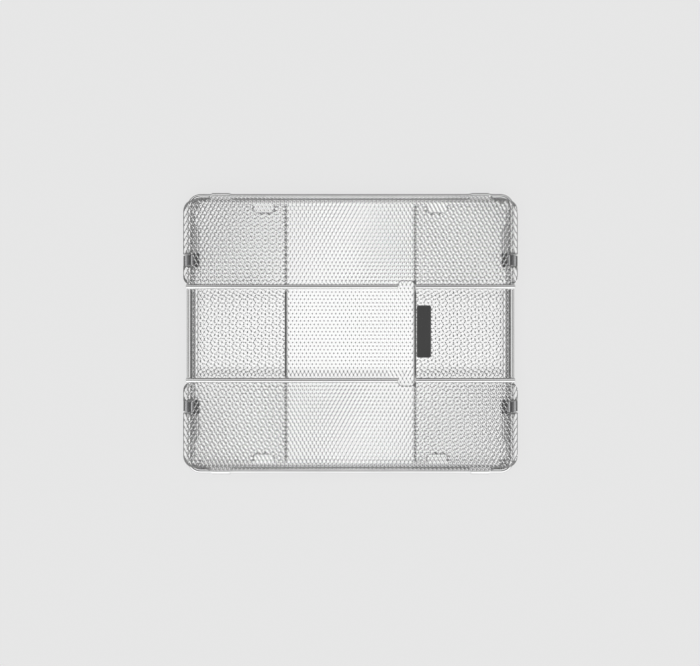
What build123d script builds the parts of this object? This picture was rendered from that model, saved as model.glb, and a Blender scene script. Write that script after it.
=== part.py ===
from build123d import *
import math
import os

# Folding perforated basket for a steam steriliser, lying folded flat. Millimetres, +Z up.
# The origin is under the middle of the tray. X runs along the long walls, and the rear is +Y.
#
# A shallow perforated tray hangs inside a ring of round wire. The two long walls are rolled
# round the ring's long sides, and the two end walls round short wires just inside the tray.
# Folded, the end walls lie on the tray's floor, and the long walls lie over them on the ring.

# ---------------------------------------------------------------- driving sizes
sheet = 1.0                      # thickness of every perforated sheet

# ring of round wire
ring_length = 327.0              # wire axis to wire axis, along X
ring_width = 278.0               # wire axis to wire axis, along Y
ring_corner_radius = 12.0        # of the wire's axis
ring_corner_steps = 3            # mitred bends that a corner is drawn with
wire_diameter = 5.0

# tray
tray_depth = 10.5                # underside of the tray to the ring wire's axis
tray_rim_above_axis = 0.6        # how far the tray's wall stands above the wire's axis
tray_bend_radius = 1.0           # outside radius between floor and wall, sharp inside

# long walls
long_wall_overhang = 5.0         # past the ring wire's axis, at each end
long_wall_height = 92.0          # hinge axis to rod axis
long_hinge_corner_radius = 12.0
long_free_corner_radius = 8.0
bare_wire_length = 22.0          # ring wire left uncovered at each end of a long side
wire_cutback = 3.6               # how far the sheet steps back from the wire there
rod_diameter = 5.0
rod_end_inset = 3.0              # from the end of the sheet
rim_gap_centre = 56.5            # gap in the rods and dip in the sheet, right of the middle
rim_gap_width = 17.0
rim_dip_depth = 3.6
rim_dip_floor_width = 11.0

# rolled knuckles of the long walls
long_knuckle_inset = 32.7        # from the axis of the ring's short side to the knuckle's middle
long_knuckle_length = 18.5
knuckle_wrap = 290.0             # degrees of wire that a knuckle goes round

# end walls
end_wall_side_gap = 6.5          # from the axis of the ring's long side
end_wall_height = 92.5           # hinge axis to free edge
end_corner_radius = 6.0
end_hinge_inset = 6.5            # ring wire's axis to the end wall's hinge axis
hem_width = 3.0
side_notch_centre = 68.0         # from the hinge axis
side_notch_width = 20.0
side_notch_depth = 8.0
side_notch_radius = 3.0

# hinge wires of the end walls
hinge_wire_diameter = 3.0
hinge_wire_length = 30.0
end_knuckle_inset = 44.0         # from the axis of the ring's long side to the knuckle's middle
end_knuckle_length = 20.0

# spring clips at the ends of the long walls
clip_height = 65.0               # hinge axis to the clip's middle
clip_width = 10.5
clip_base_width = 15.0
clip_thickness = 1.0
clip_base_length = 7.0           # under the sheet, inside the joggle
clip_joggle_run = 1.4
clip_leg_drop = 2.4              # below the ring wire's axis
clip_lip_reach = 3.2
clip_lip_drop = 1.3

# label plate on the right end wall
label_width = 15.0
label_length = 54.0
label_thickness = 0.8
label_corner_radius = 2.0
label_offset_y = 2.0

# perforation, a stand-in for the fine diamond mesh: a few large six-sided openings in
# staggered rows
open_share = 0.47                # of the sheet's area, and less open than the fine mesh
floor_pitch = 32.0
long_wall_pitch = 29.0
end_wall_pitch = 27.0
floor_margin = 6.0               # plain border of the floor, from the bend
wall_margin = 5.0                # plain border of a wall
tray_slot_length = 16.0
tray_slot_height = 3.6
tray_slot_pitch = 34.0
tray_slot_middle = 5.4           # above the tray's underside

# clearances
hinge_clearance = 0.10           # knuckle to wire, on the radius
weld_gap = 0.05                  # between pieces that are welded together
clip_clearance = 0.30            # clip leg to ring wire
knuckle_relief = 1.2             # free space round a knuckle in the tray's wall
label_clearance = 0.3            # label plate to hem

# ---------------------------------------------------------------- dependent sizes
wire_radius = wire_diameter / 2
rod_radius = rod_diameter / 2
hinge_wire_radius = hinge_wire_diameter / 2

ring_z = tray_depth
long_hinge_y = ring_width / 2
long_wall_length = ring_length + 2 * long_wall_overhang
long_knuckle_centre = ring_length / 2 - long_knuckle_inset
long_under_z = ring_z + wire_radius + hinge_clearance      # underside of a folded long wall
long_top_z = long_under_z + sheet
long_knuckle_bore = wire_radius + hinge_clearance
long_knuckle_radius = long_knuckle_bore + sheet

rod_length = long_wall_length - 2 * rod_end_inset
rod_y = long_hinge_y - long_wall_height
rod_z = long_under_z + rod_radius
rod_flank = math.sqrt(rod_radius**2 - (rod_radius - sheet) ** 2) + weld_gap
long_free_y = rod_y + rod_flank
cover_half = ring_length / 2 - bare_wire_length            # wire covered by sheet, from the middle

tray_length = ring_length - wire_diameter - 2 * weld_gap
tray_width = ring_width - wire_diameter - 2 * weld_gap
tray_height = ring_z + tray_rim_above_axis
tray_corner_radius = ring_corner_radius - wire_radius - weld_gap

end_wall_width = ring_width - 2 * end_wall_side_gap
end_knuckle_centre = ring_width / 2 - end_knuckle_inset
end_knuckle_bore = hinge_wire_radius + hinge_clearance
end_knuckle_radius = end_knuckle_bore + sheet
end_hinge_x = ring_length / 2 - end_hinge_inset
end_hinge_z = sheet + end_knuckle_radius
end_free_x = end_hinge_x - end_wall_height
end_top_z = 2 * sheet

clip_y = long_hinge_y - clip_height
clip_leg_x = ring_length / 2 + wire_radius + clip_clearance + clip_thickness / 2
clip_web_z = long_under_z + clip_thickness / 2
clip_base_z = long_under_z - clip_thickness / 2
clip_step_x = ring_length / 2 - wire_radius - clip_clearance
clip_base_x = clip_step_x - clip_joggle_run - clip_base_length

label_x = end_free_x + hem_width + label_clearance + label_width / 2


# ---------------------------------------------------------------- helpers
def arc_strip(bore, outside, start, sweep_angle):
    """Flat face of a rolled strip: a ring cut open from the start angle, clockwise, in degrees."""
    reach = 4 * outside
    gap = 360 - sweep_angle
    edge_a = math.radians(start)
    edge_b = math.radians(start + gap)
    middle = (edge_a + edge_b) / 2
    corners = [(0, 0)] + [(reach * math.cos(a), reach * math.sin(a)) for a in (edge_a, middle, edge_b)]
    return Circle(outside) - Circle(bore) - Polygon(*corners, align=None)


def staggered(x_low, x_high, y_low, y_high, pitch, keep_clear):
    """Centres and corner radius of six-sided openings in staggered rows along X, centred in a field."""
    width = pitch * math.sqrt(open_share)
    radius = width / math.sqrt(3)
    row_pitch = pitch * math.sqrt(3) / 2
    rows = int((y_high - y_low - 2 * radius) / row_pitch) + 1
    columns = int((x_high - x_low - width) / pitch) + 1
    middle_x = (x_low + x_high) / 2
    middle_y = (y_low + y_high) / 2
    centres = []
    for row in range(rows):
        count = columns - row % 2
        y = middle_y + (row - (rows - 1) / 2) * row_pitch
        for column in range(count):
            x = middle_x + (column - (count - 1) / 2) * pitch
            blocked = False
            for left, right, low, high in keep_clear:
                if left - radius < x < right + radius and low - radius < y < high + radius:
                    blocked = True
            if not blocked:
                centres.append((x, y))
    return centres, radius


def openings(centres, radius, turn):
    """Six-sided openings as one flat sketch."""
    return Sketch() + [Pos(x, y) * RegularPolygon(radius, 6, rotation=turn) for x, y in centres]


def rounded(points, radii):
    """Closed outline through the points, each corner rounded to its own radius (0 leaves it sharp)."""
    outline = Polygon(*points, align=None)
    for (x, y), radius in zip(points, radii):
        if radius > 0:
            corner = outline.vertices().sort_by_distance((x, y, 0))[0]
            outline = fillet(corner, radius)
    return outline


def bent_wire(points, radius):
    """Round wire along straight runs with mitred bends."""
    path = Polyline(*points)
    section = Plane(origin=path @ 0, z_dir=path % 0) * Circle(radius)
    return sweep(section, path=path, transition=Transition.RIGHT)


def mirrored_x(solid):
    """The same piece at the other end."""
    return mirror(solid, about=Plane.YZ)


def mirrored_y(solid):
    """The same piece on the other long side."""
    return mirror(solid, about=Plane.XZ)


# ---------------------------------------------------------------- ring and tray
def ring_wire():
    """Round wire bent into a rounded rectangle and butt welded in the middle of its short sides."""
    step = math.radians(90 / ring_corner_steps)
    corner_x = ring_length / 2 - ring_corner_radius
    corner_y = ring_width / 2 - ring_corner_radius
    reach = ring_corner_radius / math.cos(step / 2)
    corner = []
    for index in range(ring_corner_steps):
        angle = (index + 0.5) * step
        corner.append((corner_x + reach * math.cos(angle), corner_y + reach * math.sin(angle), ring_z))
    other_corner = [(-x, y, z) for x, y, z in reversed(corner)]
    points = [(ring_length / 2, 0, ring_z), *corner, *other_corner, (-ring_length / 2, 0, ring_z)]
    rear_half = bent_wire(points, wire_radius)
    return rear_half + mirrored_y(rear_half)


def tray():
    """Shallow tray, drawn from one sheet, perforated on its floor and round its wall."""
    body = extrude(RectangleRounded(tray_length, tray_width, tray_corner_radius), tray_height)
    body = fillet(body.edges().group_by(Axis.Z)[0], tray_bend_radius)
    inside = RectangleRounded(tray_length - 2 * sheet, tray_width - 2 * sheet, tray_corner_radius - sheet)
    body -= Pos(0, 0, sheet) * extrude(inside, tray_height)

    field_x = tray_length / 2 - tray_bend_radius - floor_margin
    field_y = tray_width / 2 - tray_bend_radius - floor_margin
    centres, radius = staggered(-field_x, field_x, -field_y, field_y, floor_pitch, [])
    body -= extrude(openings(centres, radius, 90), sheet)

    relief_length = long_knuckle_length + 2 * knuckle_relief
    relief_width = 2 * (long_knuckle_radius + knuckle_relief)
    for x in (-long_knuckle_centre, long_knuckle_centre):
        for y in (-long_hinge_y, long_hinge_y):
            body -= Pos(x, y, ring_z) * Box(relief_length, relief_width, relief_width)

    knuckle_zone = (relief_length + tray_slot_length) / 2 + wall_margin
    count_x = int((tray_length - 2 * tray_corner_radius) / tray_slot_pitch)
    for column in range(count_x):
        x = (column - (count_x - 1) / 2) * tray_slot_pitch
        if abs(abs(x) - long_knuckle_centre) > knuckle_zone:
            body -= Pos(x, 0, tray_slot_middle) * Box(tray_slot_length, 2 * tray_width, tray_slot_height)
    count_y = int((tray_width - 2 * tray_corner_radius) / tray_slot_pitch)
    for row in range(count_y):
        y = (row - (count_y - 1) / 2) * tray_slot_pitch
        body -= Pos(0, y, tray_slot_middle) * Box(2 * tray_length, tray_slot_length, tray_slot_height)
    return body


# ---------------------------------------------------------------- long walls (rear one, then mirrored)
def long_wall():
    """Rear wall: one perforated sheet, rolled into two knuckles at its hinge edge."""
    half = long_wall_length / 2
    back = long_hinge_y - wire_cutback
    dip_y = long_free_y + rim_dip_depth
    dip_left = rim_gap_centre - rim_gap_width / 2
    dip_right = rim_gap_centre + rim_gap_width / 2
    floor_left = rim_gap_centre - rim_dip_floor_width / 2
    floor_right = rim_gap_centre + rim_dip_floor_width / 2
    points = [
        (-cover_half, long_hinge_y),
        (-cover_half - wire_cutback, back),
        (-half, back),
        (-half, long_free_y),
        (dip_left, long_free_y),
        (floor_left, dip_y),
        (floor_right, dip_y),
        (dip_right, long_free_y),
        (half, long_free_y),
        (half, back),
        (cover_half + wire_cutback, back),
        (cover_half, long_hinge_y),
    ]
    end_radii = [long_hinge_corner_radius, long_free_corner_radius]
    outline = rounded(points, [0, 0, *end_radii, 0, 0, 0, 0, *reversed(end_radii), 0, 0])

    cutout_width = clip_width + 2 * clip_clearance
    cutout_depth = half - clip_step_x + clip_joggle_run + clip_clearance
    for side in (-1, 1):
        outline -= Pos(side * (half - cutout_depth / 2), clip_y) * Rectangle(cutout_depth, cutout_width)

    clip_zone = clip_base_width / 2 + weld_gap
    keep_clear = [
        (-half, -clip_base_x, clip_y - clip_zone, clip_y + clip_zone),
        (clip_base_x, half, clip_y - clip_zone, clip_y + clip_zone),
        (dip_left, dip_right, long_free_y, dip_y + wall_margin / 2),
    ]
    field_x = half - wall_margin
    field_low = long_free_y + wall_margin
    field_high = back - wall_margin / 2
    centres, radius = staggered(-field_x, field_x, field_low, field_high, long_wall_pitch, keep_clear)
    outline -= openings(centres, radius, 90)
    wall = Pos(0, 0, long_under_z) * extrude(outline, sheet)

    roll = arc_strip(long_knuckle_bore, long_knuckle_radius, 90, knuckle_wrap)
    for side in (-1, 1):
        start = side * long_knuckle_centre - long_knuckle_length / 2
        place = Plane(origin=(start, long_hinge_y, ring_z), x_dir=(0, 1, 0), z_dir=(1, 0, 0))
        wall += extrude(place * roll, long_knuckle_length)
    return wall


def rim_rod(x_low, x_high):
    """Round rod along the free edge of the rear wall."""
    return extrude(Plane(origin=(x_low, rod_y, rod_z), z_dir=(1, 0, 0)) * Circle(rod_radius), x_high - x_low)


def clip():
    """Spring clip at the rear wall's right end: a strip that reaches over the ring's wire."""
    path = Polyline(
        (clip_base_x, clip_y, clip_base_z),
        (clip_step_x - clip_joggle_run, clip_y, clip_base_z),
        (clip_step_x, clip_y, clip_web_z),
        (clip_leg_x, clip_y, clip_web_z),
        (clip_leg_x, clip_y, ring_z - clip_leg_drop),
        (clip_leg_x + clip_lip_reach, clip_y, ring_z - clip_leg_drop - clip_lip_drop),
    )
    section = Plane(origin=path @ 0, x_dir=(0, 1, 0), z_dir=path % 0) * Rectangle(clip_width, clip_thickness)
    strip = sweep(section, path=path, transition=Transition.RIGHT)
    base = Box(clip_base_length, clip_base_width, clip_thickness)
    return strip + Pos(clip_base_x + clip_base_length / 2, clip_y, clip_base_z) * base


# ---------------------------------------------------------------- end walls (right one, then mirrored)
def end_wall():
    """Right wall: one perforated sheet with a hemmed free edge and two rolled knuckles."""
    half = end_wall_width / 2
    fold_x = end_free_x + sheet
    notch_x = end_hinge_x - side_notch_centre
    points = [(fold_x, -half), (end_hinge_x, -half), (end_hinge_x, half), (fold_x, half)]
    outline = rounded(points, [0, end_corner_radius, end_corner_radius, 0])
    for side in (-1, 1):
        notch = RectangleRounded(side_notch_width, 2 * side_notch_depth, side_notch_radius)
        outline -= Pos(notch_x, side * half) * notch

    notch_low = notch_x - side_notch_width / 2 - wall_margin / 2
    notch_high = notch_x + side_notch_width / 2 + wall_margin / 2
    notch_in = half - side_notch_depth - wall_margin / 2
    keep_clear = [
        (notch_in, half, notch_low, notch_high),
        (-half, -notch_in, notch_low, notch_high),
    ]
    field_y = half - wall_margin
    field_low = end_free_x + hem_width + wall_margin / 2
    field_high = end_hinge_x - wall_margin
    centres, radius = staggered(-field_y, field_y, field_low, field_high, end_wall_pitch, keep_clear)
    outline -= openings([(x, y) for y, x in centres], radius, 0)
    wall = Pos(0, 0, sheet) * extrude(outline, sheet)

    hem_length = hem_width - sheet
    wall += Pos(fold_x + hem_length / 2, 0, 2 * sheet) * Box(hem_length, end_wall_width, 2 * sheet)
    fold = Plane(origin=(fold_x, -half, 2 * sheet), z_dir=(0, 1, 0)) * Circle(sheet)
    wall += extrude(fold, end_wall_width)

    roll = arc_strip(end_knuckle_bore, end_knuckle_radius, 270, knuckle_wrap)
    for side in (-1, 1):
        start = side * end_knuckle_centre + end_knuckle_length / 2
        place = Plane(origin=(end_hinge_x, start, end_hinge_z), x_dir=(1, 0, 0), z_dir=(0, -1, 0))
        wall += extrude(place * mirror(roll, about=Plane.YZ), end_knuckle_length)
    return wall


def hinge_wire():
    """Short wire welded to the tray's right wall, through the right end wall's rear knuckle."""
    root_x = tray_length / 2 - sheet - weld_gap
    low = end_knuckle_centre - hinge_wire_length / 2
    high = end_knuckle_centre + hinge_wire_length / 2
    points = [
        (root_x, low, end_hinge_z),
        (end_hinge_x, low, end_hinge_z),
        (end_hinge_x, high, end_hinge_z),
        (root_x, high, end_hinge_z),
    ]
    return bent_wire(points, hinge_wire_radius)


def label_plate():
    """Bare plate on the right end wall, beside its hem."""
    plate = RectangleRounded(label_width, label_length, label_corner_radius)
    return Pos(label_x, label_offset_y, end_top_z) * extrude(plate, label_thickness)


# ---------------------------------------------------------------- pieces
def pieces():
    """Every piece by its node's name."""
    rear_wall = long_wall()
    left_rod = rim_rod(-rod_length / 2, rim_gap_centre - rim_gap_width / 2)
    right_rod = rim_rod(rim_gap_centre + rim_gap_width / 2, rod_length / 2)
    right_clip = clip()
    left_clip = mirrored_x(right_clip)
    right_wall = end_wall()
    wire = hinge_wire()
    return {
        "tray": tray(),
        "ring_wire": ring_wire(),
        "right_end_wall": right_wall,
        "left_end_wall": mirrored_x(right_wall),
        "right_rear_hinge_wire": wire,
        "right_front_hinge_wire": mirrored_y(wire),
        "left_rear_hinge_wire": mirrored_x(wire),
        "left_front_hinge_wire": mirrored_x(mirrored_y(wire)),
        "label_plate": label_plate(),
        "rear_wall": rear_wall,
        "rear_rod_left": left_rod,
        "rear_rod_right": right_rod,
        "rear_clip_left": left_clip,
        "rear_clip_right": right_clip,
        "front_wall": mirrored_y(rear_wall),
        "front_rod_left": mirrored_y(left_rod),
        "front_rod_right": mirrored_y(right_rod),
        "front_clip_left": mirrored_y(left_clip),
        "front_clip_right": mirrored_y(right_clip),
    }


os.makedirs("parts", exist_ok=True)
for name, solid in pieces().items():
    export_step(solid, os.path.join("parts", name + ".step"))
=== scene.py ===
import logging
import math
from collections.abc import Callable
from dataclasses import dataclass, field
from enum import Enum

import bpy
import numpy as np
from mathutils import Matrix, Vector
from mathutils.geometry import delaunay_2d_cdt


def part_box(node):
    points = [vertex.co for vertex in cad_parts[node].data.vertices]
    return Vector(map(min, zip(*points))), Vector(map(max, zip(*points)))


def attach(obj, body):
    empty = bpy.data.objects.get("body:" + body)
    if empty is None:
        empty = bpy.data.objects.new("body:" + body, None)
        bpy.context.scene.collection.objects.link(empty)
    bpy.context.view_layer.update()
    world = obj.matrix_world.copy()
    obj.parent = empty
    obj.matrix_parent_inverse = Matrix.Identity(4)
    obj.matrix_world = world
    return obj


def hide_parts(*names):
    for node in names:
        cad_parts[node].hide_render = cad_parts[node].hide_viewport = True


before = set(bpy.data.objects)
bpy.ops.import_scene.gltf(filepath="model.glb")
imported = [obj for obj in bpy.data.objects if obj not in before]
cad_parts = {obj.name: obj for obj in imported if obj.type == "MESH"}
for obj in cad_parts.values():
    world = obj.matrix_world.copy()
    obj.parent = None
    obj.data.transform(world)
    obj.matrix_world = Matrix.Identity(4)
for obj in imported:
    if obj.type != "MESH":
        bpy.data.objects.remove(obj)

# A folding perforated basket, folded flat. Sizes below are in millimetres until a mesh is made.
MM = 0.001
X, Y, Z = range(3)
Z_UP = np.array([0.0, 0.0, 1.0])
Array = np.ndarray
SHEET = 1.0             # packed thickness of every sheet
DRAWN_SHEET = 0.96      # drawn thickness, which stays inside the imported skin
KNUCKLE_CENTRE = 130.8  # middle of a long wall's knuckle, from the basket's middle
KNUCKLE_LENGTH = 18.5
TOLERANCE = 1e-6
logger = logging.getLogger("basket")


class Slot(Enum):
    """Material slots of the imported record."""

    SHEET = "perforated_sheet"
    WIRE = "bright_wire"
    CLIP = "spring_clip"
    LABEL = "label_plate"


class Body(Enum):
    """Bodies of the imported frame."""

    BASE = "base"
    REAR = "rear"
    FRONT = "front"


def lowest(node: str, axis: int) -> float:
    """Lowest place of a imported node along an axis, in millimetres to a hundredth."""
    return round(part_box(node)[0][axis] / MM, 2)


def highest(node: str, axis: int) -> float:
    """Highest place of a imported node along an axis, in millimetres to a hundredth."""
    return round(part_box(node)[1][axis] / MM, 2)


# ---------------------------------------------------------------- outlines and open pattern
def rounded(corners: list[tuple[float, float, float]], steps: int = 8) -> Array:
    """Closed outline with rounded corners.

    Each corner is cut back by radius times tan(half the turn) along both sides, and the arc
    between the two cuts is found by turning the first cut's point about the arc's centre.

    Args:
        corners: (x, y, radius) of each corner, counter-clockwise; a radius of 0 leaves it sharp.
        steps: Segments in each rounded corner.

    Returns:
        Array of shape (n, 2).
    """
    data = np.array(corners, dtype=float)
    points, radii = data[:, :2], data[:, 2]
    into = points - np.roll(points, 1, axis=0)
    into /= np.linalg.norm(into, axis=1, keepdims=True)
    out = np.roll(into, -1, axis=0)
    turn = np.arctan2(into[:, 0] * out[:, 1] - into[:, 1] * out[:, 0], (into * out).sum(axis=1))
    pieces = []
    for point, radius, way, angle in zip(points, radii, into, turn):
        if radius <= 0:
            pieces.append(point[None, :])
            continue
        start = point - way * radius * math.tan(abs(angle) / 2)
        centre = start + math.copysign(radius, angle) * np.array([-way[1], way[0]])
        turned = np.linspace(0, angle, steps + 1)
        spoke = start - centre
        pieces.append(
            centre
            + np.column_stack(
                (
                    spoke[0] * np.cos(turned) - spoke[1] * np.sin(turned),
                    spoke[0] * np.sin(turned) + spoke[1] * np.cos(turned),
                )
            )
        )
    return np.vstack(pieces)


def rounded_box(low: tuple[float, float], high: tuple[float, float], radius: float, steps: int = 8) -> Array:
    """Closed outline of a rectangle with rounded corners, counter-clockwise from its lowest corner."""
    (left, front), (right, rear) = low, high
    corners = ((left, front), (right, front), (right, rear), (left, rear))
    return rounded([(*corner, radius) for corner in corners], steps)


def clear_of(points: Array, outline: Array, margin: float) -> Array:
    """Which points are inside an outline, and a margin or more away from it.

    A point is inside if a ray along X crosses the outline an odd number of times, and its
    distance to every side is that to the nearest point of the side.

    Args:
        points: Points, shape (n, 2).
        outline: Closed outline, shape (m, 2).
        margin: Least distance to the outline.

    Returns:
        Truth values, shape (n,).
    """
    start, side = outline, np.roll(outline, -1, axis=0) - outline
    x, y = points[:, :1], points[:, 1:]
    rises = (start[:, 1] > y) != (start[:, 1] + side[:, 1] > y)
    slope = side[:, 0] / np.where(side[:, 1] == 0, 1.0, side[:, 1])
    crossed = rises & (x < start[:, 0] + (y - start[:, 1]) * slope)
    share = ((x - start[:, 0]) * side[:, 0] + (y - start[:, 1]) * side[:, 1]) / (side**2).sum(axis=1)
    share = np.clip(share, 0, 1)
    gap = np.hypot(x - start[:, 0] - share * side[:, 0], y - start[:, 1] - share * side[:, 1])
    return (crossed.sum(axis=1) % 2 == 1) & (gap.min(axis=1) > margin - TOLERANCE)


@dataclass(frozen=True)
class Lattice:
    """Fine open pattern of the sheets: long diamonds in staggered rows, and strands that meet in knots.

    The lean is in degrees, and the smallest opening that is cut is an area.
    """

    pitch: float = 4.03
    row_spacing: float = 3.71
    knot_width: float = 1.13
    knot_length: float = 1.62
    shoulder: float = 0.60
    lean: float = 18.0
    strand_lengths: tuple[float, float] = (2.0, 3.6)
    strand_width: float = 0.8
    smallest: float = 0.6
    halvings: int = 10

    def opening(self) -> Array:
        """One opening about its own centre, counter-clockwise.

        It reaches to the knots at its two blunt ends and at its two tips, and each side between
        a shoulder and a tip runs along a strand.

        Returns:
            Array of shape (6, 2).
        """
        blunt = (self.pitch - self.knot_width) / 2
        tip = self.row_spacing - self.knot_length / 2
        side = self.shoulder
        return np.array([(blunt, -side), (blunt, side), (0, tip), (-blunt, side), (-blunt, -side), (0, -tip)])

    def openings(
        self, low: tuple[float, float], rows: int, columns: int, outline: Array, margin: float
    ) -> Array:
        """Openings in rows along X that keep clear of an outline.

        Every other row is moved by half a pitch. Points past the border's straight sides are
        drawn back to it, and points too near to any other part of the outline are drawn back
        towards the opening's middle, by steps that are halved each time.

        Args:
            low: Centre of the first opening of the first row.
            rows: Number of rows, along Y.
            columns: Number of openings in a row.
            outline: Closed outline, shape (m, 2).
            margin: Plain border along the outline.

        Returns:
            Array of shape (k, 6, 2).
        """
        row, column = np.meshgrid(np.arange(rows), np.arange(columns), indexing="ij")
        x = low[0] + (column + (row % 2) / 2) * self.pitch
        y = low[1] + row * self.row_spacing
        rims = np.column_stack((x.ravel(), y.ravel()))[:, None, :] + self.opening()
        rims = np.clip(rims, outline.min(axis=0) + margin, outline.max(axis=0) - margin)
        middle = rims.mean(axis=1, keepdims=True)
        inside = clear_of(middle[:, 0], outline, margin)
        rims, middle = rims[inside], middle[inside]
        share = clear_of(rims.reshape(-1, 2), outline, margin).reshape(-1, 6).astype(float)
        short = share < 1
        spoke = (rims - middle)[short]
        start = np.broadcast_to(middle, rims.shape)[short]
        step, reached = 0.5, np.zeros(len(spoke))
        for _ in range(self.halvings):
            further = reached + step
            reached = np.where(clear_of(start + spoke * further[:, None], outline, margin), further, reached)
            step /= 2
        share[short] = reached
        rims = middle + (rims - middle) * share[:, :, None]
        after = np.roll(rims, -1, axis=1)
        area = (rims[:, :, 0] * after[:, :, 1] - rims[:, :, 1] * after[:, :, 0]).sum(axis=1) / 2
        return rims[area > self.smallest]

    def leans(self, corners: Array) -> Array:
        """Lean of each triangle of the skin, as a vector in the flat.

        A strand is rolled about its own length, the two families of strands opposite ways, and a
        knot lies level. A strand's triangle is long and as narrow as the strand.

        Args:
            corners: Triangles in the flat, shape (t, 3, 2), with the diamonds' long way along Y.

        Returns:
            Array of shape (t, 2), as long as the sine of the lean.
        """
        sides = np.roll(corners, -1, axis=1) - corners
        lengths = np.linalg.norm(sides, axis=2)
        longest = lengths.argmax(axis=1)
        which = np.arange(len(corners))
        along, length = sides[which, longest], lengths[which, longest]
        area = np.abs(sides[:, 0, 0] * sides[:, 1, 1] - sides[:, 0, 1] * sides[:, 1, 0])
        shortest, longest_strand = self.strand_lengths
        is_strand = (length > shortest) & (length < longest_strand) & (area / length < self.strand_width)
        along = along * np.sign(along[:, 1:]) / length[:, None]
        across = np.column_stack((along[:, 1], -along[:, 0])) * np.sign(along[:, :1])
        return across * (is_strand * math.sin(math.radians(self.lean)))[:, None]


# ---------------------------------------------------------------- surfaces
@dataclass
class Surface:
    """Vertices with triangles and quads, in millimetres.

    A corner's normal is all zeros where the surface's own shading is right. Edges that turn by
    more than the sharp angle, in degrees, are shaded as sharp.
    """

    SHARP_ANGLE = 17.0

    vertices: Array
    triangles: Array = field(default_factory=lambda: np.empty((0, 3), dtype=np.int64))
    quads: Array = field(default_factory=lambda: np.empty((0, 4), dtype=np.int64))
    triangle_normals: Array | None = None
    quad_normals: Array | None = None

    def __post_init__(self) -> None:
        """Gives every corner a normal of zeros where none is set."""
        if self.triangle_normals is None:
            self.triangle_normals = np.zeros((len(self.triangles), 3, 3))
        if self.quad_normals is None:
            self.quad_normals = np.zeros((len(self.quads), 4, 3))

    def __add__(self, other: "Surface") -> "Surface":
        """Both surfaces side by side."""
        shift = len(self.vertices)
        return Surface(
            np.vstack((self.vertices, other.vertices)),
            np.vstack((self.triangles, other.triangles + shift)),
            np.vstack((self.quads, other.quads + shift)),
            np.vstack((self.triangle_normals, other.triangle_normals)),
            np.vstack((self.quad_normals, other.quad_normals)),
        )

    def mirrored(self, axis: int) -> "Surface":
        """The surface mirrored along one axis, with its faces turned to stay outward."""
        sign = np.ones(3)
        sign[axis] = -1
        return Surface(
            self.vertices * sign,
            self.triangles[:, ::-1],
            self.quads[:, ::-1],
            self.triangle_normals[:, ::-1] * sign,
            self.quad_normals[:, ::-1] * sign,
        )

    def build(
        self, name: str, body: Body, slot: Slot, finish: bpy.types.Material, *nodes: str
    ) -> bpy.types.Object:
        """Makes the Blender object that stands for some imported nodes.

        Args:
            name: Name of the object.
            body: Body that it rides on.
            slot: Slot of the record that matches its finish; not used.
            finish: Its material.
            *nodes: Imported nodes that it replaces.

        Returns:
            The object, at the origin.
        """
        mesh = bpy.data.meshes.new(name)
        sizes = np.concatenate((np.full(len(self.triangles), 3), np.full(len(self.quads), 4)))
        corners = np.concatenate((self.triangles.ravel(), self.quads.ravel()))
        mesh.vertices.add(len(self.vertices))
        mesh.vertices.foreach_set("co", (self.vertices * MM).astype(np.float32).ravel())
        mesh.loops.add(len(corners))
        mesh.loops.foreach_set("vertex_index", corners.astype(np.int32))
        mesh.polygons.add(len(sizes))
        mesh.polygons.foreach_set("loop_start", (np.cumsum(sizes) - sizes).astype(np.int32))
        mesh.polygons.foreach_set("use_smooth", np.ones(len(sizes), dtype=bool))
        mesh.update(calc_edges=True)
        mesh.set_sharp_from_angle(angle=math.radians(self.SHARP_ANGLE))
        normals = np.vstack((self.triangle_normals.reshape(-1, 3), self.quad_normals.reshape(-1, 3)))
        if normals.any():
            mesh.normals_split_custom_set(normals.tolist())
        mesh.materials.append(finish)
        piece = bpy.data.objects.new(name, mesh)
        bpy.context.scene.collection.objects.link(piece)
        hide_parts(*nodes)
        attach(piece, body.value)
        return piece


Placing = Callable[[Array], tuple[Array, Array]]


def level(z: float) -> Placing:
    """Placing of a flat sheet at a height, facing up."""

    def place(flat: Array) -> tuple[Array, Array]:
        """Points at the height, and their normals."""
        points = np.column_stack((flat, np.full(len(flat), z)))
        return points, np.broadcast_to(Z_UP, points.shape)

    return place


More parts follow.
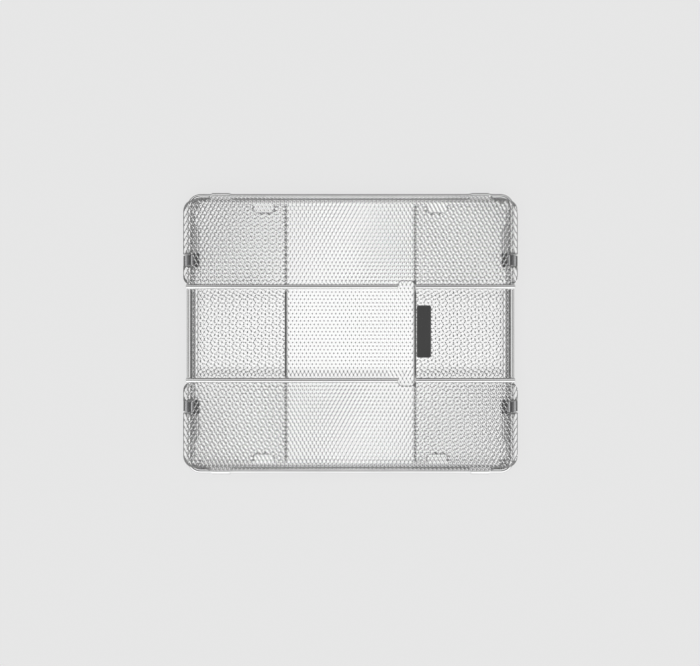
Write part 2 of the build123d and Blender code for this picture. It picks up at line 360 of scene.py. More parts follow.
def open_sheet(
    outline: Array,
    rims: Array,
    lattice: Lattice,
    place: Placing,
    thickness: float = DRAWN_SHEET,
    swapped: bool = False,
    creases: Array | None = None,
) -> Surface:
    """Sheet of even thickness with the fine open pattern.

    The outline and the openings' rims are edges of one constrained triangulation. A triangle
    whose three corners lie on one rim fills that opening, so it is dropped. The skin is copied
    half the thickness to each side along its normals, and every open edge gets a quad between
    the two. A strand's normals are those of the sheet, leaning to one side by the strand's roll.

    Args:
        outline: Closed outline in the flat, counter-clockwise, shape (m, 2).
        rims: Rims of the openings in the flat, shape (k, n, 2).
        lattice: The pattern that the rims come from.
        place: Takes flat points to points on the middle skin and their normals.
        thickness: Thickness of the sheet.
        swapped: Whether the diamonds' long way is along X.
        creases: Lines that the triangles keep to, shape (c, 2, 2), clear of the openings.

    Returns:
        The closed surface of the sheet.
    """
    count, sides = rims.shape[:2]
    flat = np.vstack((outline, rims.reshape(-1, 2)))
    first = len(outline) + sides * np.arange(count)[:, None]
    around = np.arange(sides)
    loops = np.stack((first + around, first + (around + 1) % sides), axis=2).reshape(-1, 2)
    border = np.column_stack((np.arange(len(outline)), np.roll(np.arange(len(outline)), -1)))
    owner = np.concatenate((np.full(len(outline), -1), np.repeat(np.arange(count), sides)))
    edges = np.vstack((border, loops))
    if creases is not None:
        ends = len(flat) + np.arange(2 * len(creases)).reshape(-1, 2)
        flat, edges = np.vstack((flat, creases.reshape(-1, 2))), np.vstack((edges, ends))
        owner = np.concatenate((owner, np.full(2 * len(creases), -1)))

    result = delaunay_2d_cdt([Vector(p) for p in flat.tolist()], edges.tolist(), [], 1, TOLERANCE)
    flat = np.array([tuple(p) for p in result[0]])
    owner = np.array([owner[source[0]] if source else -1 for source in result[3]])
    triangles = np.array(result[2], dtype=np.int64)
    held = owner[triangles]
    fills = (held[:, 0] >= 0) & (held[:, 0] == held[:, 1]) & (held[:, 1] == held[:, 2])
    triangles = triangles[~fills]
    first = flat[triangles[:, 0]]
    (x1, y1), (x2, y2) = ((flat[triangles[:, i]] - first).T for i in (1, 2))
    triangles = np.where((x1 * y2 < y1 * x2)[:, None], triangles[:, ::-1], triangles)

    count = len(flat)
    sided = np.vstack((triangles[:, [0, 1]], triangles[:, [1, 2]], triangles[:, [2, 0]]))
    is_open = ~np.isin(sided[:, 0] * count + sided[:, 1], sided[:, 1] * count + sided[:, 0])
    start, end = sided[is_open].T
    quads = np.column_stack((end, start, start + count, end + count))
    points, normals = place(flat)
    vertices = np.vstack((points + normals * thickness / 2, points - normals * thickness / 2))

    corners = flat[triangles]
    order = [1, 0] if swapped else [0, 1]
    lean = lattice.leans(corners[:, :, order])[:, order]
    step = 1e-3
    moved = place((corners + lean[:, None, :] * step).reshape(-1, 2))[0]
    side = (moved - place(corners.reshape(-1, 2))[0]) / step
    upright = np.sqrt(1 - (lean**2).sum(axis=1)).repeat(3)[:, None]
    skin = (normals[triangles].reshape(-1, 3) * upright + side).reshape(-1, 3, 3)
    triangles = np.vstack((triangles, triangles[:, ::-1] + count))
    return outward(Surface(vertices, triangles, quads, np.vstack((skin, -skin[:, ::-1]))))


def grid_quads(rows: int, columns: int, wrap: bool) -> Array:
    """Quads of a two-parameter grid of vertices.

    Args:
        rows: Number of rows.
        columns: Vertices in a row.
        wrap: Whether each row closes on itself.

    Returns:
        Array of shape (n, 4), turned so that rows x columns points outward.
    """
    row, column = np.meshgrid(np.arange(rows - 1), np.arange(columns - (not wrap)), indexing="ij")
    here, above = row.ravel() * columns, (row.ravel() + 1) * columns
    column = column.ravel()
    after = (column + 1) % columns
    return np.column_stack((here + column, here + after, above + after, above + column))


@dataclass(frozen=True)
class Axes:
    """Where a flat profile stands: its own two axes, and the way that it is drawn out."""

    along: tuple[float, float, float]
    up: tuple[float, float, float]
    across: tuple[float, float, float]


X_PROFILE = Axes((1, 0, 0), (0, 0, 1), (0, 1, 0))
Y_PROFILE = Axes((0, 1, 0), (0, 0, 1), (1, 0, 0))


def strip(path: Array, low: float, high: float, axes: Axes, thickness: float = DRAWN_SHEET) -> Surface:
    """Bent strip of even thickness.

    The path's normals are those of its chords, averaged at each point and lengthened so that a
    mitred bend keeps its thickness. The closed section runs forward on one side of the path and
    back on the other, and is drawn out over four stations, of which the outer two are thinner.

    Args:
        path: Middle line in the profile's plane, shape (m, 2).
        low: First edge, along the across axis.
        high: Second edge.
        axes: Where the profile stands.
        thickness: Thickness of the strip.

    Returns:
        The closed surface of the strip.
    """
    chord = np.diff(path, axis=0)
    chord /= np.linalg.norm(chord, axis=1, keepdims=True)
    normal = np.column_stack((-chord[:, 1], chord[:, 0]))
    before, after = np.vstack((normal[:1], normal)), np.vstack((normal, normal[-1:]))
    mitre = before + after
    mitre /= (1 + (before * after).sum(axis=1, keepdims=True))
    count = len(path)
    eased = 0.12
    stations = ((low, thickness / 2 - eased), (low + eased, thickness / 2))
    stations += ((high - eased, thickness / 2), (high, thickness / 2 - eased))
    along, up, across = (np.array(v, dtype=float) for v in (axes.along, axes.up, axes.across))
    rings = []
    for place, half in stations:
        loop = np.vstack((path + mitre * half, (path - mitre * half)[::-1]))
        rings.append(loop[:, :1] * along + loop[:, 1:] * up + place * across)
    quads = grid_quads(len(stations), 2 * count, True)
    step = np.arange(count - 1)
    cap = np.column_stack((step, step + 1, 2 * count - 2 - step, 2 * count - 1 - step))
    last = cap + (len(stations) - 1) * 2 * count
    return outward(Surface(np.vstack(rings), quads=np.vstack((quads, cap[:, ::-1], last))))


def knuckles(roll: Array, centre: float, length: float, axes: Axes) -> Surface:
    """Two knuckles of one rolled profile, as far to either side of the middle."""
    half = length / 2
    left, right = (strip(roll, middle - half, middle + half, axes) for middle in (-centre, centre))
    return left + right


def outward(surface: Surface) -> Surface:
    """The surface with its faces turned outward, told by the sign of the volume that it encloses."""
    halves = np.vstack((surface.triangles, surface.quads[:, [0, 1, 2]], surface.quads[:, [0, 2, 3]]))
    one, two, three = (surface.vertices[halves[:, i]] for i in range(3))
    if (one * np.cross(two, three)).sum() < 0:
        return Surface(
            surface.vertices,
            surface.triangles[:, ::-1],
            surface.quads[:, ::-1],
            surface.triangle_normals[:, ::-1],
            surface.quad_normals[:, ::-1],
        )
    return surface


def tube(path: Array, radii: Array, sides: int, closed: bool = False) -> Surface:
    """Round wire along a path that lies in a level plane.

    At each point the section stands across the averaged direction of the path, on the level
    normal and the vertical, and is a ring of the radius given for that point.

    Args:
        path: Points of the wire's axis, shape (m, 3).
        radii: Radius at each point, shape (m,).
        sides: Segments round the wire.
        closed: Whether the wire joins up with itself.

    Returns:
        The closed surface of the wire.
    """
    ahead = np.roll(path, -1, axis=0) - path
    behind = path - np.roll(path, 1, axis=0)
    if not closed:
        ahead[-1], behind[0] = behind[-1], ahead[0]
    ahead /= np.linalg.norm(ahead, axis=1, keepdims=True)
    behind /= np.linalg.norm(behind, axis=1, keepdims=True)
    tangent = ahead + behind
    tangent /= np.linalg.norm(tangent, axis=1, keepdims=True)
    side = np.cross(Z_UP, tangent)
    angle = np.arange(sides) * 2 * np.pi / sides
    section = np.cos(angle)[None, :, None] * side[:, None, :] + np.sin(angle)[None, :, None] * Z_UP
    vertices = (path[:, None, :] + radii[:, None, None] * section).reshape(-1, 3)
    rows = len(path)
    quads = grid_quads(rows, sides, True)
    triangles = np.empty((0, 3), dtype=np.int64)
    around = np.arange(sides)
    after = (around + 1) % sides
    if closed:
        last = (rows - 1) * sides
        quads = np.vstack((quads, np.column_stack((last + around, last + after, after, around))))
    else:
        poles = len(vertices) + np.array([0, 1])
        vertices = np.vstack((vertices, path[:1], path[-1:]))
        start = np.column_stack((np.full(sides, poles[0]), after, around))
        last = (rows - 1) * sides
        end = np.column_stack((np.full(sides, poles[1]), last + around, last + after))
        triangles = np.vstack((start, end))
    return outward(Surface(vertices, triangles, quads))


def domed(ends: tuple[float, float], radius: float, y: float, z: float) -> Surface:
    """Straight round rod along X with softly domed ends.

    The radius falls off over the dome's length as a quarter of an ellipse, and the last ring
    keeps a fiftieth of it.

    Args:
        ends: Places of its ends.
        radius: Radius of the rod.
        y: Place of the axis.
        z: Height of the axis.

    Returns:
        The closed surface of the rod.
    """
    dome, steps, sides = 0.9, 7, 28
    left, right = ends
    share = np.sin(np.linspace(0, np.pi / 2, steps))
    fall = radius * np.sqrt(np.clip(1 - (1 - share) ** 2, 0.02**2, 1))
    x = np.concatenate((left + dome * share, (right - dome * share)[::-1]))
    path = np.column_stack((x, np.full(len(x), y), np.full(len(x), z)))
    return tube(path, np.concatenate((fall, fall[::-1])), sides)


def bend_path(corners: list[tuple[float, float]], radii: tuple[float, ...], steps: int = 6) -> Array:
    """Open middle line of a bent strip or wire, with its corners rounded."""
    return rounded([(*corner, radius) for corner, radius in zip(corners, (0.0, *radii, 0.0))], steps)


# ---------------------------------------------------------------- finishes
@dataclass(frozen=True)
class Finish:
    """Look of one kind of metal.

    The roughness varies by the variation to either side, along streaks that are stretched by the
    inverse of the stretch along each axis, and the colour varies between its two shades.
    """

    name: str
    colour: tuple[float, float, float]
    roughness: float
    variation: float
    stretch: tuple[float, float, float]
    bump: float
    streak_scale: float = 900.0
    streak_detail: float = 4.0
    patch_scale: float = 22.0
    patch_detail: float = 3.0
    shades: tuple[float, float] = (0.90, 1.06)
    bump_depth: float = 0.0002

    def material(self) -> bpy.types.Material:
        """Node material: brushed streaks in roughness and bump, and slow patches in colour.

        Returns:
            The material.
        """
        material = bpy.data.materials.new(self.name)
        material.use_nodes = True
        nodes, links = material.node_tree.nodes, material.node_tree.links
        shader = nodes["Principled BSDF"]
        shader.inputs["Metallic"].default_value = 1.0
        shader.inputs["Base Color"].default_value = (*self.colour, 1.0)
        shader.inputs["Roughness"].default_value = self.roughness
        place = nodes.new("ShaderNodeTexCoord")
        mapping = nodes.new("ShaderNodeMapping")
        mapping.inputs["Scale"].default_value = self.stretch
        streak = nodes.new("ShaderNodeTexNoise")
        streak.inputs["Scale"].default_value = self.streak_scale
        streak.inputs["Detail"].default_value = self.streak_detail
        patch = nodes.new("ShaderNodeTexNoise")
        patch.inputs["Scale"].default_value = self.patch_scale
        patch.inputs["Detail"].default_value = self.patch_detail
        links.new(place.outputs["Object"], mapping.inputs["Vector"])
        links.new(mapping.outputs["Vector"], streak.inputs["Vector"])
        links.new(place.outputs["Object"], patch.inputs["Vector"])

        rough = nodes.new("ShaderNodeMapRange")
        rough.inputs["To Min"].default_value = self.roughness - self.variation
        rough.inputs["To Max"].default_value = self.roughness + self.variation
        links.new(streak.outputs["Fac"], rough.inputs["Value"])
        links.new(rough.outputs["Result"], shader.inputs["Roughness"])

        tint = nodes.new("ShaderNodeMix")
        tint.data_type = "RGBA"
        for name, shade in zip("AB", self.shades):
            tint.inputs[name].default_value = (*(min(part * shade, 1.0) for part in self.colour), 1.0)
        links.new(patch.outputs["Fac"], tint.inputs["Factor"])
        links.new(tint.outputs["Result"], shader.inputs["Base Color"])

        bump = nodes.new("ShaderNodeBump")
        bump.inputs["Strength"].default_value = self.bump
        bump.inputs["Distance"].default_value = self.bump_depth
        links.new(streak.outputs["Fac"], bump.inputs["Height"])
        links.new(bump.outputs["Normal"], shader.inputs["Normal"])
        return material


SHEET_FINISH = Finish(
    "stainless_sheet",
    colour=(0.80, 0.80, 0.80),
    roughness=0.19,
    variation=0.04,
    stretch=(1.0, 0.12, 1.0),
    bump=0.06,
)
WIRE_FINISH = Finish(
    "bright_stainless_wire",
    colour=(0.80, 0.80, 0.80),
    roughness=0.11,
    variation=0.03,
    stretch=(0.15, 0.15, 1.0),
    bump=0.04,
)
CLIP_FINISH = Finish(
    "spring_steel",
    colour=(0.52, 0.52, 0.53),
    roughness=0.16,
    variation=0.05,
    stretch=(1.0, 0.1, 1.0),
    bump=0.06,
)
LABEL_FINISH = Finish(
    "satin_plate",
    colour=(0.46, 0.46, 0.46),
    roughness=0.14,
    variation=0.03,
    stretch=(1.0, 0.06, 1.0),
    bump=0.05,
)


# ---------------------------------------------------------------- pieces
@dataclass
class Ring:
    """Ring of round wire that carries everything."""

    radius: float = (highest("ring_wire", Z) - lowest("ring_wire", Z)) / 2
    height: float = lowest("ring_wire", Z) + radius
    half_length: float = highest("ring_wire", X) - radius
    half_width: float = highest("ring_wire", Y) - radius
    corner_radius: float = 12.0
    corner_steps: int = 14
    sides: int = 28

    def build(self, finish: bpy.types.Material) -> list[bpy.types.Object]:
        """Sweeps the wire round its rounded rectangle.

        Args:
            finish: Material of the wire.

        Returns:
            The ring.
        """
        x, y = self.half_length, self.half_width
        outline = rounded_box((-x, -y), (x, y), self.corner_radius, self.corner_steps)
        path = np.column_stack((outline, np.full(len(outline), self.height)))
        wire = tube(path, np.full(len(path), self.radius), self.sides, True)
        return [wire.build("ring_of_wire", Body.BASE, Slot.WIRE, finish, "ring_wire")]


@dataclass
class Tray:
    """Shallow perforated tray: a flat floor, and a wall that rises from its bend.

    The length and width are those of the middle skin. The wall's seams at the corners and its
    bend stay clear of openings by the two clearances.
    """

    length: float = 2 * highest("tray", X) - SHEET
    width: float = 2 * highest("tray", Y) - SHEET
    rim_height: float = highest("tray", Z)
    floor_height: float = SHEET / 2
    corner_radius: float = 8.95
    corner_steps: int = 10
    bend_radius: float = 0.7
    bend_steps: int = 5
    margin: float = 0.5
    relief_width: float = KNUCKLE_LENGTH + 2 * 1.2
    relief_bottom: float = 5.7
    wall_rows: int = 2
    first_wall_row: float = 3.6
    seam_clearance: float = 0.2
    bend_clearance: float = 0.1
    lattice: Lattice = Lattice()

    def rim(self, inset: float) -> Array:
        """Rounded rectangle of the tray's middle skin, moved inward by an inset."""
        x, y = self.length / 2 - inset, self.width / 2 - inset
        return rounded_box((-x, -y), (x, y), self.corner_radius - inset, self.corner_steps)

    def floor(self) -> Surface:
        """Perforated floor, out to the start of the bend.

        Returns:
            Its closed surface.
        """
        outline = self.rim(self.bend_radius)
        rows = int(self.width / self.lattice.row_spacing) + 3
        columns = int(self.length / self.lattice.pitch) + 3
        low = (-(columns - 0.5) / 2 * self.lattice.pitch, -(rows - 1) / 2 * self.lattice.row_spacing)
        rims = self.lattice.openings(low, rows, columns, outline, self.margin)
        return open_sheet(outline, rims, self.lattice, level(self.floor_height))

    def wall(self) -> Surface:
        """Bend and wall, as one skin unrolled along the perimeter.

        Along the perimeter the skin follows the rounded rectangle, with a crease at each step of
        its corners. Across it, the first part is a quarter turn of the bend's radius, creased at
        even angles, and the rest is straight up to the rim, which dips at each knuckle.

        Returns:
            Its closed surface.
        """
        ring = self.rim(self.bend_radius)
        ring = np.vstack((ring, ring[:1]))
        side = np.diff(ring, axis=0)
        reach = np.concatenate(([0], np.cumsum(np.hypot(side[:, 0], side[:, 1]))))
        way = side / np.linalg.norm(side, axis=1, keepdims=True)
        outer = np.column_stack((way[:, 1], -way[:, 0]))
        joined = outer + np.roll(outer, 1, axis=0)
        joined = np.vstack((joined, joined[:1]))
        total, inner = reach[-1], reach[1:-1]
        turn = self.bend_radius * np.pi / 2
        top = turn + self.rim_height - self.floor_height - self.bend_radius
        relief = turn + self.relief_bottom - self.floor_height - self.bend_radius

        def place(flat: Array) -> tuple[Array, Array]:
            """Points of the bend and wall, and their inward normals."""
            along, up = flat[:, 0], flat[:, 1]
            foot = np.column_stack([np.interp(along, reach, ring[:, i]) for i in range(2)])
            out = np.column_stack([np.interp(along, reach, joined[:, i]) for i in range(2)])
            out /= np.linalg.norm(out, axis=1, keepdims=True)
            angle = np.clip(up, 0, turn) / self.bend_radius
            z = self.floor_height + self.bend_radius * (1 - np.cos(angle)) + np.clip(up - turn, 0, None)
            points = np.column_stack((foot + out * self.bend_radius * np.sin(angle)[:, None], z))
            return points, np.column_stack((-out * np.sin(angle)[:, None], np.cos(angle)))

        corner = self.corner_steps + 1
        middle = self.length / 2 - self.corner_radius
        starts = (reach[corner - 1], reach[3 * corner - 1])
        notches = [start + middle + sign * KNUCKLE_CENTRE for start in starts for sign in (-1, 1)]
        crest = [(0.0, 0.0), (total, 0.0), (total, top)]
        for centre in reversed(notches):
            far, near = centre + self.relief_width / 2, centre - self.relief_width / 2
            crest += [(far, top), (far, relief), (near, relief), (near, top)]
        outline = np.array([*crest, (0.0, top)])
        seams = np.column_stack((inner, np.zeros_like(inner), inner, np.full_like(inner, top)))
        height = np.linspace(0, turn, self.bend_steps + 1)[1:]
        creases = np.column_stack((np.zeros_like(height), height, np.full_like(height, total), height))
        lines = np.vstack((seams, creases)).reshape(-1, 2, 2)

        first = (0.0, turn + self.first_wall_row)
        columns = int(total / self.lattice.pitch)
        rims = self.lattice.openings(first, self.wall_rows, columns, outline, self.margin)
        left = rims[:, :, 0].min(axis=1)[:, None] - self.seam_clearance
        right = rims[:, :, 0].max(axis=1)[:, None] + self.seam_clearance
        crossed = (inner > left) & (inner < right)
        bent = rims[:, :, 1].min(axis=1) < turn + self.bend_clearance
        rims = rims[~(crossed.any(axis=1) | bent)]
        return open_sheet(outline, rims, self.lattice, place, creases=lines)

    def build(self, finish: bpy.types.Material) -> list[bpy.types.Object]:
        """Makes the floor and the wall.

        Args:
            finish: Material of the sheet.

        Returns:
            Both pieces.
        """
        parts = {"tray_floor": self.floor(), "tray_wall": self.wall()}
        return [part.build(name, Body.BASE, Slot.SHEET, finish, "tray") for name, part in parts.items()]


@dataclass
class Clip:
    """Right spring clip of a long wall: a flat foot under the sheet, and an arm over the ring.

    The arm steps up by a joggle at the sheet's edge, runs over the ring, goes down as a leg
    outside it and ends in a flared lip.
    """

    middle: float = (lowest("rear_clip_right", Y) + highest("rear_clip_right", Y)) / 2
    foot_start: float = lowest("rear_clip_right", X) + 0.1
    foot_end: float = 158.9
    foot_half: float = 7.4
    foot_corner: float = 1.2
    foot_height: float = 12.6
    foot_thickness: float = 0.94
    arm_half: float = 5.2
    arm_height: float = 13.6
    joggle: tuple[float, float] = (159.3, 160.7)
    leg: float = 166.8
    leg_bottom: float = 8.1
    lip: tuple[float, float] = (169.9, 6.85)
    bends: tuple[float, ...] = (0.8, 0.8, 1.3, 1.1)

    def surface(self) -> Surface:
        """Foot and arm.

        Returns:
            Their closed surfaces.
        """
        step_start, step_end = self.joggle
        corners = [(self.foot_start, self.foot_height), (step_start, self.foot_height)]
        corners += [(step_end, self.arm_height), (self.leg, self.arm_height)]
        corners += [(self.leg, self.leg_bottom), self.lip]
        path = bend_path(corners, self.bends)
        arm = strip(path, self.middle - self.arm_half, self.middle + self.arm_half, X_PROFILE)
        low = (self.foot_start, self.middle - self.foot_half)
        high = (self.foot_end, self.middle + self.foot_half)
        foot = rounded_box(low, high, self.foot_corner, 5)
        plain = np.empty((0, 6, 2))
        return arm + open_sheet(foot, plain, Lattice(), level(self.foot_height), self.foot_thickness)


@dataclass
class LongWall:
    """Folding long wall: perforated sheet, rolled knuckles, a rod in two lengths, and two clips.

    The sheet reaches the ring along the middle of its hinge edge, and is cut back from the bare
    wire at both ends. It has a cutout for the arm of each clip. All sizes are the rear wall's.
    """

    half_length: float = highest("rear_wall", X)
    height: float = highest("rear_wall", Z) - SHEET / 2
    free_y: float = lowest("rear_wall", Y)
    hinge_y: float = Ring.half_width
    axis_z: float = Ring.height
    cutback: float = 3.6
    cover_half: float = 141.5
    cover_corner: float = 0.4
    hinge_corner: float = 12.0
    free_corner: float = 8.0
    dip: tuple[float, float] = (highest("rear_rod_left", X), lowest("rear_rod_right", X))
    dip_slope: float = 3.0
    dip_depth: float = 3.6
    dip_corners: tuple[float, float] = (0.5, 1.5)
    cutout_inner: float = 159.0
    cutout_half: float = 5.55
    cutout_corner: float = 0.8
    corner_steps: int = 6
    knuckle_radius: float = 3.1
    knuckle_turn: float = 290.0
    knuckle_steps: int = 30
    rod_y: float = (lowest("rear_rod_left", Y) + highest("rear_rod_left", Y)) / 2
    rod_z: float = (lowest("rear_rod_left", Z) + highest("rear_rod_left", Z)) / 2
    rod_radius: float = (highest("rear_rod_left", Z) - lowest("rear_rod_left", Z)) / 2
    rod_end: float = highest("rear_rod_right", X)
    margin: float = 0.55
    first_opening: tuple[float, float] = (-1.0, 0.6)
    clip: Clip = field(default_factory=Clip)
    lattice: Lattice = Lattice(knot_width=1.0, knot_length=1.4)

    def outline(self) -> Array:
        """Flat outline of the sheet, counter-clockwise from its left free corner."""
        end, free, back = self.half_length, self.free_y, self.hinge_y - self.cutback
        cover = self.cover_half
        inner, corner = self.cutout_inner, self.cutout_corner
        near, far = self.clip.middle - self.cutout_half, self.clip.middle + self.cutout_half
        right = [(end, near, corner), (inner, near, corner), (inner, far, corner), (end, far, corner)]
        left = [(-x, y, radius) for x, y, radius in reversed(right)]
        start, stop = self.dip
        rim, deep = self.dip_corners
        bottom = free + self.dip_depth
        corners = [(-end, free, self.free_corner), (start, free, rim), (start + self.dip_slope, bottom, deep)]
        corners += [(stop - self.dip_slope, bottom, deep), (stop, free, rim), (end, free, self.free_corner)]
        corners += [*right, (end, back, self.hinge_corner), (cover + self.cutback, back, self.cover_corner)]
        corners += [(cover, self.hinge_y, self.cover_corner), (-cover, self.hinge_y, self.cover_corner)]
        corners += [(-cover - self.cutback, back, self.cover_corner), (-end, back, self.hinge_corner), *left]
        return rounded(corners, self.corner_steps)

    def sheet(self) -> Surface:
        """Sheet and knuckles.

        Returns:
            Their closed surfaces.
        """
        outline = self.outline()
        ahead, above = self.first_opening
        low = (-self.half_length + ahead, self.free_y + above)
        rows = int((self.hinge_y - self.free_y) / self.lattice.row_spacing) + 1
        columns = int(2 * self.half_length / self.lattice.pitch) + 2
        rims = self.lattice.openings(low, rows, columns, outline, self.margin)
        sheet = open_sheet(outline, rims, self.lattice, level(self.height))
        angle = np.radians(np.linspace(0, self.knuckle_turn, self.knuckle_steps))
        roll = np.column_stack((np.sin(angle), np.cos(angle))) * self.knuckle_radius
        roll += (self.hinge_y, self.axis_z)
        return sheet + knuckles(roll, KNUCKLE_CENTRE, KNUCKLE_LENGTH, Y_PROFILE)

    def rods(self) -> tuple[Surface, Surface]:
        """The rod's left and right lengths.

        Returns:
            Their closed surfaces.
        """
        start, stop = self.dip
        spans = ((-self.rod_end, start), (stop, self.rod_end))
        left, right = (domed(span, self.rod_radius, self.rod_y, self.rod_z) for span in spans)
        return left, right

    def build(
        self,
        side: str,
        body: Body,
        sheet: bpy.types.Material,
        wire: bpy.types.Material,
        spring: bpy.types.Material,
    ) -> list[bpy.types.Object]:
        """Makes one long wall.

        Args:
            side: "rear" or "front".
            body: Body that it rides on.
            sheet: Material of the sheet.
            wire: Material of the rods.
            spring: Material of the clips.

        Returns:
            Its sheet, rods and clips.
        """
        left_rod, right_rod = self.rods()
        right_clip = self.clip.surface()
        parts = {
            "wall": (self.sheet(), Slot.SHEET, sheet),
            "rod_left": (left_rod, Slot.WIRE, wire),
            "rod_right": (right_rod, Slot.WIRE, wire),
            "clip_left": (right_clip.mirrored(X), Slot.CLIP, spring),
            "clip_right": (right_clip, Slot.CLIP, spring),
        }
        pieces = []
        for name, (surface, slot, finish) in parts.items():
            if body is Body.FRONT:
                surface = surface.mirrored(Y)
            pieces.append(surface.build(f"{side}_{name}_fine", body, slot, finish, f"{side}_{name}"))
        return pieces


@dataclass
class EndWall:
    """End wall, folded down on the tray: perforated sheet with a hem and two rolled knuckles.

    Each side has a notch, and short bent wires hold the knuckles. All sizes are the right wall's.
    """

    half_width: float = highest("right_end_wall", Y)
    height: float = lowest("right_end_wall", Z) + SHEET / 2
    fold_x: float = lowest("right_end_wall", X) + SHEET
    fold_steps: int = 13
    hem_end: float = 67.4
    hinge_corner: float = 6.0
    notch: tuple[float, float] = (79.0, 99.0)
    notch_bottom: float = 124.5
    notch_corners: tuple[float, float] = (0.5, 3.0)
    corner_steps: int = 6
    knuckle_centre: float = (lowest("right_rear_hinge_wire", Y) + highest("right_rear_hinge_wire", Y)) / 2
    knuckle_length: float = 20.0
    knuckle_radius: float = 2.1
    knuckle_turn: float = 290.0
    knuckle_steps: int = 26
    wire_radius: float = (highest("right_rear_hinge_wire", Z) - lowest("right_rear_hinge_wire", Z)) / 2
    wire_half: float = 15.0
    wire_root: float = highest("right_rear_hinge_wire", X) - 0.05
    wire_bend: float = 1.6
    wire_sides: int = 24
    hinge_x: float = lowest("right_rear_hinge_wire", X) + wire_radius
    margin: float = 0.6
    first_row: float = 3.2
    lattice: Lattice = Lattice(knot_width=1.0, knot_length=1.4)

    def outline(self) -> Array:
        """Flat outline of the sheet, counter-clockwise, up to the hem's fold."""
        side, (low, high), deep = self.half_width, self.notch, self.notch_bottom
        rim, inner = self.notch_corners
        front = [(low, -side, rim), (low, -deep, inner), (high, -deep, inner), (high, -side, rim)]
        rear = [(x, -y, radius) for x, y, radius in reversed(front)]
        corners = [(self.fold_x, -side, 0), *front, (self.hinge_x, -side, self.hinge_corner)]
        corners += [(self.hinge_x, side, self.hinge_corner), *rear, (self.fold_x, side, 0)]
        return rounded(corners, self.corner_steps)

    def surface(self) -> Surface:
        """Sheet, hem and knuckles of the right wall.

        Returns:
            Their closed surfaces.
        """
        outline = self.outline()
        rows = int((self.hinge_x - self.fold_x) / self.lattice.row_spacing) + 1
        columns = int(2 * self.half_width / self.lattice.pitch) + 2
        low = (-(columns - 0.5) / 2 * self.lattice.pitch, self.fold_x + self.first_row)
        rims = self.lattice.openings(low, rows, columns, outline[:, ::-1], self.margin)[:, :, ::-1]
        wall = open_sheet(outline, rims, self.lattice, level(self.height), swapped=True)
        angle = np.radians(np.linspace(0, 180, self.fold_steps))
        middle = (self.fold_x, self.height + SHEET / 2)
        fold = np.column_stack((-np.sin(angle), -np.cos(angle))) * SHEET / 2 + middle
        hem = np.vstack((fold, [(self.hem_end, self.height + SHEET)]))
        wall += strip(hem, -self.half_width, self.half_width, X_PROFILE)
        angle = np.radians(np.linspace(0, self.knuckle_turn, self.knuckle_steps))
        roll = np.column_stack((np.sin(angle), -np.cos(angle))) * self.knuckle_radius
        roll += (self.hinge_x, self.height + self.knuckle_radius)
        return wall + knuckles(roll, self.knuckle_centre, self.knuckle_length, X_PROFILE)

    def hinge_wire(self) -> Surface:
        """Rear hinge wire of the right wall, with both ends bent to the tray.

        Returns:
            Its closed surface.
        """
        low, high = self.knuckle_centre - self.wire_half, self.knuckle_centre + self.wire_half
        corners = [(self.wire_root, low), (self.hinge_x, low), (self.hinge_x, high), (self.wire_root, high)]
        bent = bend_path(corners, (self.wire_bend, self.wire_bend), 8)
        path = np.column_stack((bent, np.full(len(bent), self.height + self.knuckle_radius)))
        return tube(path, np.full(len(path), self.wire_radius), self.wire_sides)

    def build(self, sheet: bpy.types.Material, wire: bpy.types.Material) -> list[bpy.types.Object]:
        """Makes both end walls and their hinge wires.

        Args:
            sheet: Material of the sheet.
            wire: Material of the hinge wires.

        Returns:
            The walls, each followed by its rear and front hinge wires.
        """
        right, pin = self.surface(), self.hinge_wire()
        pieces = []
        for side, wall, rear_pin in (("right", right, pin), ("left", right.mirrored(X), pin.mirrored(X))):
            node = f"{side}_end_wall"
            pieces.append(wall.build(f"{node}_fine", Body.BASE, Slot.SHEET, sheet, node))
            for end, surface in (("rear", rear_pin), ("front", rear_pin.mirrored(Y))):
                node = f"{side}_{end}_hinge_wire"
                pieces.append(surface.build(f"{node}_fine", Body.BASE, Slot.WIRE, wire, node))
        return pieces


@dataclass
class LabelPlate:
    """Bare plate beside the right end wall's hem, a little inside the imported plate."""

    inset: float = 0.05
    corner: float = 2.0
    bottom: float = lowest("label_plate", Z)
    top: float = highest("label_plate", Z)
    easing: tuple[float, float] = (0.07, 0.25)

    def build(self, finish: bpy.types.Material) -> list[bpy.types.Object]:
        """Makes the plate, with an eased upper edge.

        The outline is repeated at the underside, below the easing, within it and above it, the
        last two a little smaller, and the first and last outlines are filled.

        Args:
            finish: Material of the plate.

        Returns:
            The plate.
        """
        low = np.array([lowest("label_plate", axis) for axis in (X, Y)]) + self.inset
        high = np.array([highest("label_plate", axis) for axis in (X, Y)]) - self.inset
        slight, full = self.easing
        levels = ((0.0, self.bottom), (0.0, self.top - full), (slight, self.top - slight), (full, self.top))
        rings = []
        for inset, z in levels:
            outline = rounded_box(tuple(low + inset), tuple(high - inset), self.corner - inset)
            rings.append(np.column_stack((outline, np.full(len(outline), z))))
        count = len(rings[0])
        middle = (low + high) / 2
        vertices = np.vstack((*rings, [[*middle, self.bottom], [*middle, self.top]]))
        around = np.arange(count)
        after = (around + 1) % count
        last = (len(levels) - 1) * count
        under = np.column_stack((np.full(count, len(vertices) - 2), after, around))
        over = np.column_stack((np.full(count, len(vertices) - 1), around + last, after + last))
        plate = outward(Surface(vertices, np.vstack((under, over)), grid_quads(len(levels), count, True)))
        return [plate.build("label_plate_fine", Body.BASE, Slot.LABEL, finish, "label_plate")]


